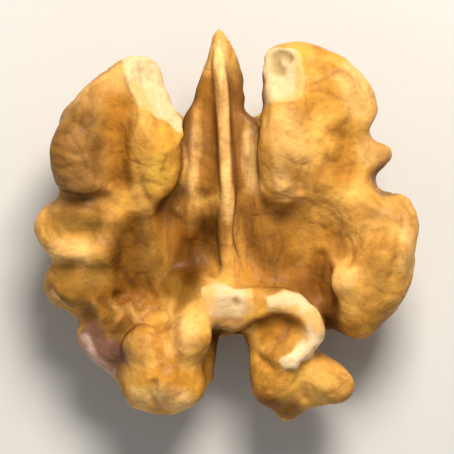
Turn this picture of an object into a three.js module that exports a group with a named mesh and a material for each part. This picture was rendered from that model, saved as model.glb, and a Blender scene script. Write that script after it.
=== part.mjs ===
// A shelled walnut kernel: one half of the nut, lying on its wrinkled outer side with the
// inner face up. A keeled tongue points to +Y, a wing lies on each side of it, and two lower
// lobes hang from the bridge towards -Y with a gap between them.
//
// The kernel grew as one piece, so it is one solid. It is described as a distance field:
// folds of flesh, each a tube of changing thickness along a smooth curve, run softly into
// each other. Winding creases are pressed into the outer side, furrows into the inner face,
// and flat chips are taken off where the skin broke away. The skin is that field's surface.
// Millimetres, +Z up, origin under the middle of the kernel, on what it rests on.
import * as THREE from "three";

// Driving dimensions.
const CELL = 0.8; // side of a cell of the grid that the skin is drawn on
const REACH = new THREE.Box3(new THREE.Vector3(-16.8, -17.2, -2.8), new THREE.Vector3(16.8, 17.2, 16));
const KERNEL_RADIUS = 13.5; // from the middle to the rim
const STEPS = 5; // straight pieces in a stretch of a fold

const GROUP_BLEND = 1.2; // how softly two groups of folds run into each other
const FURROW_BLEND = 1; // how rounded the lips of a furrow are
const CHIP_BLEND = 0.25; // how rounded the edge of a chip is

// Creases of the outer side. They reach up to a height that rises from the middle to the rim.
const CREASE = { period: 6.6, depth: 0.8, width: 0.42, heightInMiddle: 2.6, heightAtRim: 5.2, fade: 2 };
const WIDE_BEND = { swing: 1.3, rate: 0.31 };
const FINE_BEND = { swing: 0.6, rate: 0.59 };

// How far the whole shape is bent out of true, and over what length.
const SWAY = { reach: 0.3, period: 8.5 };

// Folds, as rows of balls [x, y, z, radius] that a smooth tube runs through. Each group has its
// own blend: the softer it is, the more its folds lie under one skin. A chip is a broken face: a
// point on it, the way that it looks and the radius that it is dished to, as
// [x, y, z, towards x, y, z, radius].
const TONGUE = {
  blend: 0.9,
  folds: [
    // The keel along the top.
    [[-0.6, 14.5, 9.4, 0.2], [-0.45, 10.6, 10, 0.45], [-0.1, 6, 10.1, 0.5], [0.1, 2.6, 9.7, 0.5],
      [0, -1.2, 9, 0.55], [0.3, -3.8, 8.5, 0.8]],
    // The body under it.
    [[-0.6, 13.8, 9, 0.4], [-0.5, 11.5, 8.7, 0.85], [-0.35, 8, 8.3, 1.35], [-0.2, 4, 7.6, 1.9],
      [0, -0.5, 6.4, 2.1], [0.4, -3.6, 6.2, 2.3]],
    // The left and the right flank.
    [[-0.8, 13.6, 8.8, 0.25], [-1.7, 11, 8.4, 0.55], [-2.15, 7.6, 8.5, 0.95], [-2.65, 4.4, 8, 1.25],
      [-3.1, 1.2, 7.2, 1.5], [-3.2, -1.8, 6.6, 1.5], [-2.6, -4.2, 6.8, 1.4]],
    [[-0.35, 13.6, 8.8, 0.25], [1, 11, 8.4, 0.65], [1.35, 7.6, 8.6, 1], [1.8, 4.4, 8.3, 1.25],
      [2.65, 1.2, 7.4, 1.5], [2.9, -1.8, 6.6, 1.5], [3, -4.2, 6.8, 1.4]],
    // The root, down to the outer side.
    [[-0.55, 13, 7.8, 0.6], [-0.4, 9, 6.6, 1.7], [-0.2, 5, 5.2, 2.4], [0, 0, 4.2, 3], [0.4, -4.2, 4.6, 3]],
  ],
};

const LEFT_WING = {
  blend: 1.3,
  folds: [
    // The outer and the inner ridge, the flesh between them and the mass below.
    [[-6.8, 10.1, 10.1, 2.4], [-9, 8.7, 10.3, 2.25], [-10.6, 6.3, 10.4, 2.3], [-10.6, 3.9, 9.9, 2.2],
      [-10.4, 2.3, 9.2, 1.9]],
    [[-5.7, 10, 10.6, 2.2], [-5.6, 7.2, 10.8, 2.3], [-5.5, 4.6, 10.2, 2.1], [-5.5, 2.6, 9.2, 1.5],
      [-5.5, 1.3, 8.2, 1]],
    [[-8, 8.2, 9.3, 2.5], [-7.8, 5, 9.1, 2.5], [-7.8, 2.4, 8.2, 2.1]],
    [[-7.6, 8.2, 6.6, 3], [-8.4, 4.2, 5.6, 3.4], [-8.2, -0.5, 5, 3.2], [-7, -5, 5, 3]],
  ],
  chips: [[-5.6, 10, 11.3, 0.62, 0.2, 0.76, 14]],
};

const LEFT_SIDE = {
  blend: 0.9,
  folds: [
    // The upper lobe, as two ridges with a dip between them.
    [[-12.5, 0.2, 8.6, 1.5], [-11.2, 0.8, 9.3, 1.5], [-9.3, 0.4, 8.8, 1.5], [-8.2, -0.6, 7.6, 1.3]],
    [[-12.3, -0.8, 8.4, 1.5], [-11.5, -1.9, 8.9, 1.6], [-9.4, -1.6, 9.2, 1.5]],
    // The lower lobe, and the ridge from it to the bridge.
    [[-12.3, -4, 7.2, 1.7], [-11, -4.6, 8, 1.8], [-9.6, -4, 8, 1.6]],
    [[-9.9, -6, 6.8, 1.5], [-8.2, -6.3, 7.2, 1.3], [-6.6, -5.6, 7, 1.2]],
    // The mass below them.
    [[-10.4, -0.5, 6.4, 2.8], [-9.6, -4.4, 5.4, 2.6]],
    [[-8.6, -7.4, 6, 1.7], [-6.6, -7.2, 6.2, 1.7]],
    [[-6.4, -6, 6.7, 1.3], [-4.6, -6.2, 7.1, 1.3]],
    // The low flap beside the lower left lobe, and its thick edge.
    [[-9.2, -8.2, 6.4, 1.6], [-8.5, -9, 6.6, 1.7], [-7.4, -9.7, 6.4, 1.6]],
    [[-9.8, -8.3, 7.1, 1], [-9.3, -9.2, 7.2, 1], [-8.2, -10, 7, 1]],
  ],
};

const RIGHT_WING = {
  blend: 1.6,
  folds: [
    // The inner, the middle and the outer ridge.
    [[4.7, 11.2, 10.3, 2.45], [4.5, 8.6, 10.8, 2.25], [4.5, 5.8, 10.5, 2.1], [4.2, 3.2, 9.4, 1.85]],
    [[6.6, 10.8, 10.2, 2.45], [7.2, 8.2, 10.5, 2.2], [7.4, 5.4, 9.9, 1.9], [7, 3.2, 9, 1.8]],
    [[8.3, 9.9, 10, 2.1], [9, 8.9, 9.9, 2.05], [8.6, 6.8, 9.9, 1.7], [8.7, 4, 9.1, 1.7]],
    // The knob on the rim, and the mass below.
    [[9.3, 5.2, 8.8, 1.5], [10.8, 5.5, 8.6, 1.35]],
    [[6.6, 9, 6.4, 3], [7.6, 4, 5.6, 3.4], [8.2, -0.5, 5, 3.2], [7.6, -4.2, 4.8, 3]],
  ],
  chips: [[4.2, 11, 12.15, -0.35, 0.3, 0.89, 12]],
};

const RIGHT_SIDE = {
  blend: 1.4,
  folds: [
    // The rim, the ridge inside it and the slope down to the floor.
    [[11, 1, 9.2, 1.6], [12.5, 0.9, 9.4, 1.5], [12, -1.6, 9.8, 1.95], [11.3, -4.2, 8.9, 2.2],
      [10.1, -6, 7.4, 2.1]],
    [[9.7, 1.6, 9, 1.8], [10.2, -1, 8.7, 1.8], [9.2, -3.7, 8.8, 1.8], [8.8, -5.4, 7.4, 1.7]],
    [[6.7, 1.4, 8, 1.7], [7, -1.2, 7.2, 1.6], [7.2, -3.6, 6.7, 1.6], [7.8, -5.8, 5.8, 1.7]],
  ],
};

const BRIDGE = {
  blend: 0.9,
  folds: [
    // The bridge itself, the hooked rim that it ends in, the flesh inside that and the mass below.
    [[-3.6, -4.9, 7.8, 1.4], [-1.5, -5.4, 8.8, 1.5], [0.4, -5.9, 8.9, 1.8], [2, -5.8, 9, 1.4]],
    [[2.2, -5.5, 9.2, 1.1], [4.4, -5.8, 9.6, 1.1], [5.8, -6.6, 9.7, 1.1], [6.1, -8.1, 9.5, 1.15],
      [5, -9.6, 9.3, 1]],
    [[3.2, -6.8, 7.4, 1.7], [4.6, -7.5, 7.7, 1.7], [4.4, -8.8, 7.5, 1.7]],
    [[-1, -5.2, 6, 2.3], [3.4, -5.2, 6.4, 2.3]],
  ],
  chips: [[0.2, -6, 10.1, 0, -0.35, 0.94, 8]],
};

const LOWER_LOBES = {
  blend: 0.8,
  folds: [
    // The left lobe: two knobs at its top and the flesh between them, its round end, its mass
    // and its wall on the gap.
    [[-3, -6, 7.8, 1.3], [-2.85, -8.2, 9.8, 1.7], [-3.1, -9.5, 8.8, 1.5]],
    [[-6, -8.7, 9.4, 1.6], [-6.1, -9.9, 8.7, 1.6]],
    [[-5.4, -7, 7.6, 1.3], [-4.6, -7.4, 8.1, 1.2]],
    [[-4.5, -11.5, 8.3, 2.65], [-6.3, -11.6, 8, 1.9]],
    [[-3.9, -6.5, 5.4, 2.7], [-4.6, -10.2, 5.6, 3]],
    [[-2, -8.8, 6.2, 1.4], [-2.3, -10.9, 5.8, 1.3]],
    // The right lobe: its main fold, its spur, its mass and the flesh under the spur.
    [[4.4, -7.4, 6.9, 2.2], [3.8, -9.4, 7.3, 2.15], [3.6, -11.3, 7.4, 2.2]],
    [[5.4, -10.6, 7.4, 1.75], [6.6, -11.1, 7.5, 1.75], [7.6, -11.5, 7.3, 1.7]],
    [[3.8, -8.4, 5.2, 2.2], [4.2, -11.4, 5, 2.2], [4.2, -12.8, 5.2, 1.6]],
    [[4.6, -12.5, 6.4, 1.7], [6.2, -12.2, 6.6, 1.4], [7.4, -12, 6.6, 1.2]],
  ],
};

// The middle of the kernel, with the floor of the hollows on both sides of the tongue.
const CORE = {
  blend: 1.5,
  folds: [
    [[-8, 0, 4.6, 2.9], [0, 0.5, 3.8, 3], [8, 0, 4.6, 2.9]],
    [[-6, 5, 4.4, 2.8], [0, 4, 4.2, 2.4], [6, 5, 4.4, 2.8]],
    [[-5, -4, 4.4, 2.8], [5, -4.5, 4.4, 2.8]],
    [[-5.6, 1, 4.8, 2.3], [-3.6, -2.4, 4.6, 2.3]],
    [[5.2, 1.4, 5.8, 2.3], [4.2, -2.4, 5.5, 2.4]],
    [[3.9, 2.4, 6.9, 1.6], [4.2, 0.4, 6.4, 1.6]],
    [[-7.2, 0.6, 6.4, 1.6], [-7, -3, 6.2, 1.6]],
    [[-5.5, -0.7, 7.5, 1], [-5.4, -2.9, 7.5, 1]],
  ],
};

// Ribs of the outer side: each leaves the seam along the middle of the dome and rises to a
// bump of the rim. [rim x, rim y, rim z, y where it leaves the seam]
const RIB = { radius: 1.7, seamX: 2, floor: 2.1, rise: 2.1, spread: 0.85, sway: 1 };
const RIB_ENDS = [
  [-7.4, 9.6, 8, 5.4], [-10.6, 7.8, 8, 3.6], [-11.4, 4.6, 7.8, 1.8], [-12.2, 0.4, 7, -0.2],
  [-11.8, -4.2, 6, -2.8], [-9, -8, 5, -5], [-6.4, -11.4, 6, -6.6],
  [6.2, 10.6, 8, 6], [8.6, 9.4, 8, 4.6], [9, 6, 7.6, 2.8], [10.8, 1.6, 7.2, 0.8],
  [12.2, -1.4, 7, -1.8], [11.2, -4.6, 6, -4], [6, -11.2, 5.4, -6.4],
];
const RIBS = { blend: 0.8, folds: RIB_ENDS.map(rib) };

// Three low swellings of the outer side, which the kernel rests on. They are cut flat at z = 0.
const FEET = {
  blend: 1.4,
  folds: [
    [[-7, 5.6, 3.6, 2.2], [-5.6, 4.4, 2.6, 3], [-4, 2.4, 3.6, 2.2]],
    [[7.2, 5.2, 3.6, 2.2], [5.8, 4, 2.5, 3], [4.4, 2, 3.6, 2.2]],
    [[-1.6, -6.4, 3.4, 2.2], [0.4, -5.2, 2.3, 3], [2, -3.4, 3.4, 2.2]],
  ],
};

const GROUPS = [CORE, RIBS, FEET, TONGUE, LEFT_WING, LEFT_SIDE, RIGHT_WING, RIGHT_SIDE, BRIDGE, LOWER_LOBES];

// Furrows of the inner face, drawn as the folds are, but pressed in.
const FURROWS = [
  // Along the left wing and along the right wing.
  [[-8.3, 10, 13, 0.8], [-8.3, 6.4, 12.6, 1], [-8, 2.8, 11.5, 0.9]],
  [[6.6, 12.6, 12.4, 0.5], [6.9, 10.8, 13.1, 0.7], [6.6, 8.6, 13.2, 0.6]],
  // Above and below the knob on the rim.
  [[11.6, 7.2, 12, 0.7], [11.7, 7.2, 5, 0.75]],
  [[11.7, 3.5, 12, 0.7], [11.9, 3.5, 5, 0.8]],
  // Between the right side and the floor, and the dimple above that.
  [[5.6, 0.8, 10.6, 0.8], [6.2, -2.8, 9.6, 0.9], [6.9, -5.2, 8.8, 1]],
  [[8.2, -1, 10.6, 1], [8.4, -2, 10.4, 0.9]],
  // Between the knobs of the lower left lobe.
  [[-4.9, -7, 10.8, 0.7], [-4.9, -8.6, 11, 0.7], [-4.7, -10, 11.3, 0.4]],
  // Between the left wing and the lobes below it, and between those.
  [[-13.4, 1.9, 9.6, 0.45], [-10.8, 2.2, 11, 0.4], [-8.8, 1.6, 10.6, 0.5]],
  [[-14.1, -3, 8.8, 0.4], [-11.2, -3.2, 10.5, 0.6]],
  // Under the hooked rim.
  [[2.2, -7.8, 9.4, 0.7], [4, -7.4, 10.3, 0.7], [4.8, -8, 10.3, 0.6]],
  // The floor left of the tongue.
  [[-3.9, 1.2, 9.3, 1.1], [-3.6, -2.4, 8.9, 1.2]],
];

// Clefts between the tongue and the wings, open from the inner face down to the outer side.
const CLEFT_TOP = 14;
const CLEFTS = [
  [-3.5, 12.2, 1.3], [-3.4, 10.7, 1.05], [-3.15, 9.3, 0.75],
  [1.95, 12.2, 0.75], [1.95, 10.6, 0.5], [1.95, 9.2, 0.35],
].map(([x, y, radius]) => [[x, y, CLEFT_TOP, radius], [x, y, 0, radius]]);

// A rib's balls, on a bowl that rises from the seam to the rim.
function rib([x, y, z, seamY]) {
  return [0, 0.3, 0.65, 1].map((t) => [
    THREE.MathUtils.lerp(Math.sign(x) * RIB.seamX, x, t ** RIB.spread),
    THREE.MathUtils.lerp(seamY, y, t) + RIB.sway * Math.sin(2 * Math.PI * t + seamY),
    THREE.MathUtils.lerp(RIB.floor, z, t ** RIB.rise),
    RIB.radius,
  ]);
}

// A row of balls as straight pieces with their radii, and the box that they stay in.
function tube(balls) {
  const stretches = balls.length - 1;
  const path = new THREE.CatmullRomCurve3(balls.map(([x, y, z]) => new THREE.Vector3(x, y, z)));
  const radiusAt = (i) => {
    const k = Math.min(Math.floor(i / STEPS), stretches - 1);
    return THREE.MathUtils.lerp(balls[k][3], balls[k + 1][3], i / STEPS - k);
  };
  const centres = path.getPoints(stretches * STEPS);
  const pieces = centres.slice(1).map((to, i) => ({
    line: new THREE.Line3(centres[i], to),
    from: radiusAt(i),
    to: radiusAt(i + 1),
  }));
  const reach = new THREE.Box3().setFromPoints(centres);
  reach.expandByScalar(Math.max(...balls.map((ball) => ball[3])));
  return { pieces, reach };
}

const nearest = new THREE.Vector3();
function tubeDistance(point, { pieces }) {
  let best = Infinity;
  for (const { line, from, to } of pieces) {
    const t = line.closestPointToPointParameter(point, true);
    line.at(t, nearest);
    best = Math.min(best, point.distanceTo(nearest) - THREE.MathUtils.lerp(from, to, t));
  }
  return best;
}

// The ball that cuts a chip.
function dish([x, y, z, towardsX, towardsY, towardsZ, radius]) {
  const out = new THREE.Vector3(towardsX, towardsY, towardsZ).setLength(radius);
  return new THREE.Sphere(out.add(new THREE.Vector3(x, y, z)), radius);
}

// The lesser of two distances, rounded off where they are within blend of each other.
function softMin(a, b, blend) {
  const h = Math.max(blend - Math.abs(a - b), 0) / blend;
  return Math.min(a, b) - (h * h * blend) / 4;
}

// A shape less a cutter.
function softCut(shape, cutter, blend) {
  return -softMin(-shape, cutter, blend);
}

// A winding sheet passes through the kernel: where it meets the outer side it is a crease.
function crease({ x, y, z }) {
  const turn = (2 * Math.PI) / CREASE.period;
  const bent = (along, wide, fine, start) =>
    turn * along +
    WIDE_BEND.swing * Math.sin(WIDE_BEND.rate * wide + start) +
    FINE_BEND.swing * Math.sin(FINE_BEND.rate * fine + start);
  const u = bent(x, y, z, 0.5);
  const v = bent(y, x, z, 1.1);
  const w = bent(z, x, y, 2.3);
  const sheet = Math.sin(u) * Math.cos(v) + Math.sin(v) * Math.cos(w) + Math.sin(w) * Math.cos(u);
  const outwards = Math.min(Math.hypot(x, y) / KERNEL_RADIUS, 1);
  const top = THREE.MathUtils.lerp(CREASE.heightInMiddle, CREASE.heightAtRim, outwards ** 2);
  const share = 1 - THREE.MathUtils.smoothstep(z, top, top + CREASE.fade);
  return CREASE.depth * share * Math.exp(-((sheet / CREASE.width) ** 2));
}

// A point moved a little, by an amount that changes slowly from place to place.
function swayed({ x, y, z }) {
  const turn = (2 * Math.PI) / SWAY.period;
  const wave = (a, b, start) => SWAY.reach * Math.sin(turn * a + start) * Math.cos(turn * b + start / 2);
  return new THREE.Vector3(x + wave(y, z, 1.3), y + wave(x, z, 0.4), z + wave(x, y, 2.1));
}

const groups = GROUPS.map(({ blend, folds, chips = [] }) => ({
  blend,
  tubes: folds.map(tube),
  dishes: chips.map(dish),
}));
const furrows = [...FURROWS, ...CLEFTS].map(tube);

// How far a place is from the skin, in millimetres: less than zero in the flesh.
function field(place) {
  const point = swayed(place);
  let shape = Infinity;
  for (const { blend, tubes, dishes } of groups) {
    let group = Infinity;
    for (const fold of tubes)
      if (fold.reach.distanceToPoint(point) < group + blend)
        group = softMin(tubeDistance(point, fold), group, blend);
    for (const chip of dishes) group = softCut(group, chip.distanceToPoint(point), CHIP_BLEND);
    shape = softMin(group, shape, GROUP_BLEND);
  }
  for (const furrow of furrows)
    if (furrow.reach.distanceToPoint(point) < FURROW_BLEND - shape)
      shape = softCut(shape, tubeDistance(point, furrow), FURROW_BLEND);
  return shape + crease(point);
}

// A field's values at the points of a grid. The grid's outermost points lie in the air.
function sample(valueAt, box, cell) {
  const n = box.getSize(new THREE.Vector3()).divideScalar(cell).toArray().map((s) => Math.ceil(s) + 1);
  const step = [1, n[0], n[0] * n[1]];
  const value = new Float64Array(n[0] * n[1] * n[2]);
  const point = new THREE.Vector3();
  for (let k = 0; k < n[2]; k++)
    for (let j = 0; j < n[1]; j++)
      for (let i = 0; i < n[0]; i++)
        value[i + step[1] * j + step[2] * k] = valueAt(point.set(i, j, k).multiplyScalar(cell).add(box.min));
  return { value, n, step };
}

// Calls visit(i, j, k, base) for each cell of a grid, base being its lowest corner's index.
function eachCell({ n, step }, visit) {
  for (let k = 0; k < n[2] - 1; k++)
    for (let j = 0; j < n[1] - 1; j++)
      for (let i = 0; i < n[0] - 1; i++) visit(i, j, k, i + step[1] * j + step[2] * k);
}

// How far each of a cell's eight corners is from its lowest one, in the list of values.
function cornerOffsets({ step }) {
  return [0, 1, 2, 3, 4, 5, 6, 7].map((c) => (c & 1) + ((c >> 1) & 1) * step[1] + (c >> 2) * step[2]);
}

// Fills the places where flesh would meet only along an edge or at a corner of a cell, so that
// the skin never touches itself.
function fillPinches(grid) {
  const JUST_INSIDE = -0.02;
  const { value, step } = grid;
  const offsets = cornerOffsets(grid);
  const isFlesh = (m) => value[m] < 0;
  let changed = true;
  const fill = (m) => {
    value[m] = JUST_INSIDE;
    changed = true;
  };
  while (changed) {
    changed = false;
    eachCell(grid, (i, j, k, base) => {
      for (const [p, q] of [[step[0], step[1]], [step[1], step[2]], [step[2], step[0]]]) {
        const [a, b, c, d] = [base, base + p, base + p + q, base + q].map(isFlesh);
        if (a === c && b === d && a !== b) fill(a ? base + p : base);
      }
      for (let c = 0; c < 4; c++) {
        const pair = [base + offsets[c], base + offsets[7 - c]];
        const rest = offsets.filter((_, m) => m !== c && m !== 7 - c).map((offset) => base + offset);
        if (pair.every(isFlesh) && !rest.some(isFlesh)) fill(rest[0]);
        else if (!pair.some(isFlesh) && rest.every(isFlesh)) fill(pair[0]);
      }
    });
  }
}

// Keeps the flesh, or the air, that can be reached from a grid point, and turns the rest of its
// kind into the other: a sealed hollow is filled, and a loose scrap is dropped.
function keepReached({ value, step }, start, isFlesh) {
  const turned = isFlesh ? 0.1 : -0.1;
  const wanted = (m) => value[m] < 0 === isFlesh;
  const reached = new Uint8Array(value.length);
  reached[start] = 1;
  const open = [start];
  while (open.length) {
    const here = open.pop();
    for (const s of step)
      for (const next of [here - s, here + s])
        if (next >= 0 && next < value.length && !reached[next] && wanted(next)) {
          reached[next] = 1;
          open.push(next);
        }
  }
  value.forEach((_, m) => {
    if (wanted(m) && !reached[m]) value[m] = turned;
  });
}

// The surface where a field crosses zero, as one closed mesh: a vertex in each cell that the
// surface passes through, at the mean of its crossings, and a quad across each crossed edge.
function skin(valueAt, box, cell) {
  const grid = sample(valueAt, box, cell);
  const { value, step } = grid;
  fillPinches(grid);
  keepReached(grid, 0, false);
  keepReached(grid, value.indexOf(value.reduce((least, v) => Math.min(least, v))), true);
  fillPinches(grid);

  const offsets = cornerOffsets(grid);
  const edges = [];
  for (let a = 0; a < 8; a++)
    for (const bit of [1, 2, 4])
      if (!(a & bit)) edges.push([a, a | bit]);

  const vertexOf = new Map();
  const vertices = [];
  eachCell(grid, (i, j, k, base) => {
    const vertex = new THREE.Vector3();
    let crossings = 0;
    for (const [a, b] of edges) {
      const atA = value[base + offsets[a]];
      const atB = value[base + offsets[b]];
      if (atA < 0 === atB < 0) continue;
      const from = new THREE.Vector3(a & 1, (a >> 1) & 1, a >> 2);
      const to = new THREE.Vector3(b & 1, (b >> 1) & 1, b >> 2);
      vertex.add(from.lerp(to, atA / (atA - atB)));
      crossings++;
    }
    if (!crossings) return;
    vertex.divideScalar(crossings).add(new THREE.Vector3(i, j, k)).multiplyScalar(cell).add(box.min);
    vertex.z = Math.max(vertex.z, 0); // the feet are flat where they rest
    vertexOf.set(base, vertices.length);
    vertices.push(vertex);
  });

  const triangles = [];
  for (const base of vertexOf.keys())
    for (let axis = 0; axis < 3; axis++) {
      const inFlesh = value[base] < 0;
      if (inFlesh === value[base + step[axis]] < 0) continue;
      const p = step[(axis + 1) % 3];
      const q = step[(axis + 2) % 3];
      const quad = [base, base - p, base - p - q, base - q].map((m) => vertexOf.get(m));
      const [a, b, c, d] = inFlesh ? quad : quad.reverse();
      const across = vertices[a].distanceTo(vertices[c]) <= vertices[b].distanceTo(vertices[d]);
      triangles.push(...(across ? [a, b, c, a, c, d] : [a, b, d, b, c, d]));
    }
  return new THREE.BufferGeometry().setFromPoints(vertices).setIndex(triangles);
}

const flesh = new THREE.MeshStandardMaterial({ color: 0xd79c4c, roughness: 0.45, metalness: 0 });
const kernel = new THREE.Mesh(skin(field, REACH, CELL), flesh);
kernel.name = "kernel";

const walnut = new THREE.Group();
walnut.add(kernel);
export default walnut;
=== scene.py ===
"""The looks of a shelled walnut kernel, which lies on its round side with the inner face up.

The kernel is one skin. It is the surface of the same distance field as the solid, drawn on a
finer grid, with the small folds, wrinkles and crumbly breaks that the solid leaves out, and
without the stretches of crease that would leave loose flakes on that grid. Its colours are
worked out on the skin itself: stains, bare flesh where the skin broke off, painted light on the
ridges and on some lit spots, and painted shade in the creases and on some shaded spots. The
tables of the field are in millimetres, and the mesh in metres.
"""
import math

import bpy
import numpy as np
from mathutils import Matrix, Vector, noise


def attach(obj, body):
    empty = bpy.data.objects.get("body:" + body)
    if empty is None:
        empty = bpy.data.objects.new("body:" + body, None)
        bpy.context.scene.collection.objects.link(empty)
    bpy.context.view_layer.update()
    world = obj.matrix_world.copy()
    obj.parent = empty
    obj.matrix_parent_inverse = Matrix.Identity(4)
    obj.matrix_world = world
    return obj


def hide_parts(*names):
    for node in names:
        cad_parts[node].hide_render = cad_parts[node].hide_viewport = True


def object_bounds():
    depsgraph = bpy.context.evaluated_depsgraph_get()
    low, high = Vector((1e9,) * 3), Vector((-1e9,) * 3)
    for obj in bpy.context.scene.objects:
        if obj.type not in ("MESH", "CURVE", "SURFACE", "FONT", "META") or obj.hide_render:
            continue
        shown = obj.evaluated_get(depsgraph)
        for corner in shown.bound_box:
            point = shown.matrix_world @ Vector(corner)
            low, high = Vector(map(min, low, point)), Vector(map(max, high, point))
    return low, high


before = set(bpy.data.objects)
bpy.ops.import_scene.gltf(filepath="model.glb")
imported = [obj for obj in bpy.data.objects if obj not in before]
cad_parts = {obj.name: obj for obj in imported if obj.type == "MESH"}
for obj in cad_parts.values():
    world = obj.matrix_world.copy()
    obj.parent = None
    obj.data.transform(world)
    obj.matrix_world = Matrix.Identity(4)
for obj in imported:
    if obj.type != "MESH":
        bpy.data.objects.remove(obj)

CAD_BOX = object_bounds()
MM = 0.001
CELL = 0.21  # side of a cell of the grid that the skin is drawn on
REACH = ((-16.8, -17.2, -2.8), (16.8, 17.2, 16.0))  # two corners of that grid
KERNEL_RADIUS = 13.5  # from the middle to the rim
STEPS = 5  # straight pieces in a stretch of a fold

GROUP_BLEND = 1.2  # how softly two groups of folds run into each other
FURROW_BLEND = 1.0  # how rounded the lips of a furrow are
CHIP_BLEND = 0.15  # how rounded the edge of a chip is
FAR = 4.0  # stands for any greater distance
JUST_INSIDE = -0.02  # the distance given to a place that is filled with flesh
TINY = 1e-9  # the least length that is divided by

# Creases of the outer side. They reach up to a height that rises from the middle to the rim, and
# fade out above it. They also fade out where their sheet runs nearly along the skin, over a band
# of the cosine between the two.
CREASE = {
    "period": 6.6, "depth": 0.8, "width": 0.42, "height_in_middle": 2.6, "height_at_rim": 5.2,
    "fade": 2, "nearly_along": (0.82, 0.97), "starts": (0.5, 1.1, 2.3),
}
WIDE_BEND = {"swing": 1.3, "rate": 0.31}
FINE_BEND = {"swing": 0.6, "rate": 0.59}

# How far the whole shape is bent out of true, and over what length.
SWAY = {"reach": 0.3, "period": 8.5, "starts": (1.3, 0.4, 2.1)}

# Folds, as rows of balls (x, y, z, radius) that a smooth tube runs through. Each group has its
# own blend: the softer it is, the more its folds lie under one skin. A chip is a broken face: a
# point on it, the way that it looks and the radius that it is dished to.
TONGUE = {
    "blend": 0.9,
    "folds": [
        # The keel along the top.
        [(-0.6, 14.5, 9.4, 0.2), (-0.45, 10.6, 10, 0.45), (-0.1, 6, 10.1, 0.5), (0.1, 2.6, 9.7, 0.5),
         (0, -1.2, 9, 0.55), (0.3, -3.8, 8.5, 0.8)],
        # The body under it.
        [(-0.6, 13.8, 9, 0.4), (-0.5, 11.5, 8.7, 0.85), (-0.35, 8, 8.3, 1.35), (-0.2, 4, 7.6, 1.9),
         (0, -0.5, 6.4, 2.1), (0.4, -3.6, 6.2, 2.3)],
        # The left and the right flank.
        [(-0.8, 13.6, 8.8, 0.25), (-1.7, 11, 8.4, 0.55), (-2.15, 7.6, 8.5, 0.95), (-2.65, 4.4, 8, 1.25),
         (-3.1, 1.2, 7.2, 1.5), (-3.2, -1.8, 6.6, 1.5), (-2.6, -4.2, 6.8, 1.4)],
        [(-0.35, 13.6, 8.8, 0.25), (1, 11, 8.4, 0.65), (1.35, 7.6, 8.6, 1), (1.8, 4.4, 8.3, 1.25),
         (2.65, 1.2, 7.4, 1.5), (2.9, -1.8, 6.6, 1.5), (3, -4.2, 6.8, 1.4)],
        # The root, down to the outer side.
        [(-0.55, 13, 7.8, 0.6), (-0.4, 9, 6.6, 1.7), (-0.2, 5, 5.2, 2.4), (0, 0, 4.2, 3),
         (0.4, -4.2, 4.6, 3)],
    ],
}

LEFT_WING = {
    "blend": 1.3,
    "folds": [
        # The outer and the inner ridge, the flesh between them and the mass below.
        [(-6.8, 10.1, 10.1, 2.4), (-9, 8.7, 10.3, 2.25), (-10.6, 6.3, 10.4, 2.3), (-10.6, 3.9, 9.9, 2.2),
         (-10.4, 2.3, 9.2, 1.9)],
        [(-5.7, 10, 10.6, 2.2), (-5.6, 7.2, 10.8, 2.3), (-5.5, 4.6, 10.2, 2.1), (-5.5, 2.6, 9.2, 1.5),
         (-5.5, 1.3, 8.2, 1)],
        [(-8, 8.2, 9.3, 2.5), (-7.8, 5, 9.1, 2.5), (-7.8, 2.4, 8.2, 2.1)],
        [(-7.6, 8.2, 6.6, 3), (-8.4, 4.2, 5.6, 3.4), (-8.2, -0.5, 5, 3.2), (-7, -5, 5, 3)],
    ],
    "chips": [((-5.6, 10, 11.3), (0.62, 0.2, 0.76), 14)],
}

LEFT_SIDE = {
    "blend": 0.9,
    "folds": [
        # The upper lobe, as two ridges with a dip between them.
        [(-12.5, 0.2, 8.6, 1.5), (-11.2, 0.8, 9.3, 1.5), (-9.3, 0.4, 8.8, 1.5), (-8.2, -0.6, 7.6, 1.3)],
        [(-12.3, -0.8, 8.4, 1.5), (-11.5, -1.9, 8.9, 1.6), (-9.4, -1.6, 9.2, 1.5)],
        # The lower lobe, and the ridge from it to the bridge.
        [(-12.3, -4, 7.2, 1.7), (-11, -4.6, 8, 1.8), (-9.6, -4, 8, 1.6)],
        [(-9.9, -6, 6.8, 1.5), (-8.2, -6.3, 7.2, 1.3), (-6.6, -5.6, 7, 1.2)],
        # The mass below them.
        [(-10.4, -0.5, 6.4, 2.8), (-9.6, -4.4, 5.4, 2.6)],
        [(-8.6, -7.4, 6, 1.7), (-6.6, -7.2, 6.2, 1.7)],
        [(-6.4, -6, 6.7, 1.3), (-4.6, -6.2, 7.1, 1.3)],
        # The low flap beside the lower left lobe, and its thick edge.
        [(-9.2, -8.2, 6.4, 1.6), (-8.5, -9, 6.6, 1.7), (-7.4, -9.7, 6.4, 1.6)],
        [(-9.8, -8.3, 7.1, 1), (-9.3, -9.2, 7.2, 1), (-8.2, -10, 7, 1)],
    ],
}

RIGHT_WING = {
    "blend": 1.6,
    "folds": [
        # The inner, the middle and the outer ridge.
        [(4.7, 11.2, 10.3, 2.45), (4.5, 8.6, 10.8, 2.25), (4.5, 5.8, 10.5, 2.1), (4.2, 3.2, 9.4, 1.85)],
        [(6.6, 10.8, 10.2, 2.45), (7.2, 8.2, 10.5, 2.2), (7.4, 5.4, 9.9, 1.9), (7, 3.2, 9, 1.8)],
        [(8.3, 9.9, 10, 2.1), (9, 8.9, 9.9, 2.05), (8.6, 6.8, 9.9, 1.7), (8.7, 4, 9.1, 1.7)],
        # The knob on the rim, and the mass below.
        [(9.3, 5.2, 8.8, 1.5), (10.8, 5.5, 8.6, 1.35)],
        [(6.6, 9, 6.4, 3), (7.6, 4, 5.6, 3.4), (8.2, -0.5, 5, 3.2), (7.6, -4.2, 4.8, 3)],
    ],
    "chips": [((4.2, 11, 12.15), (-0.35, 0.3, 0.89), 12)],
}

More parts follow.
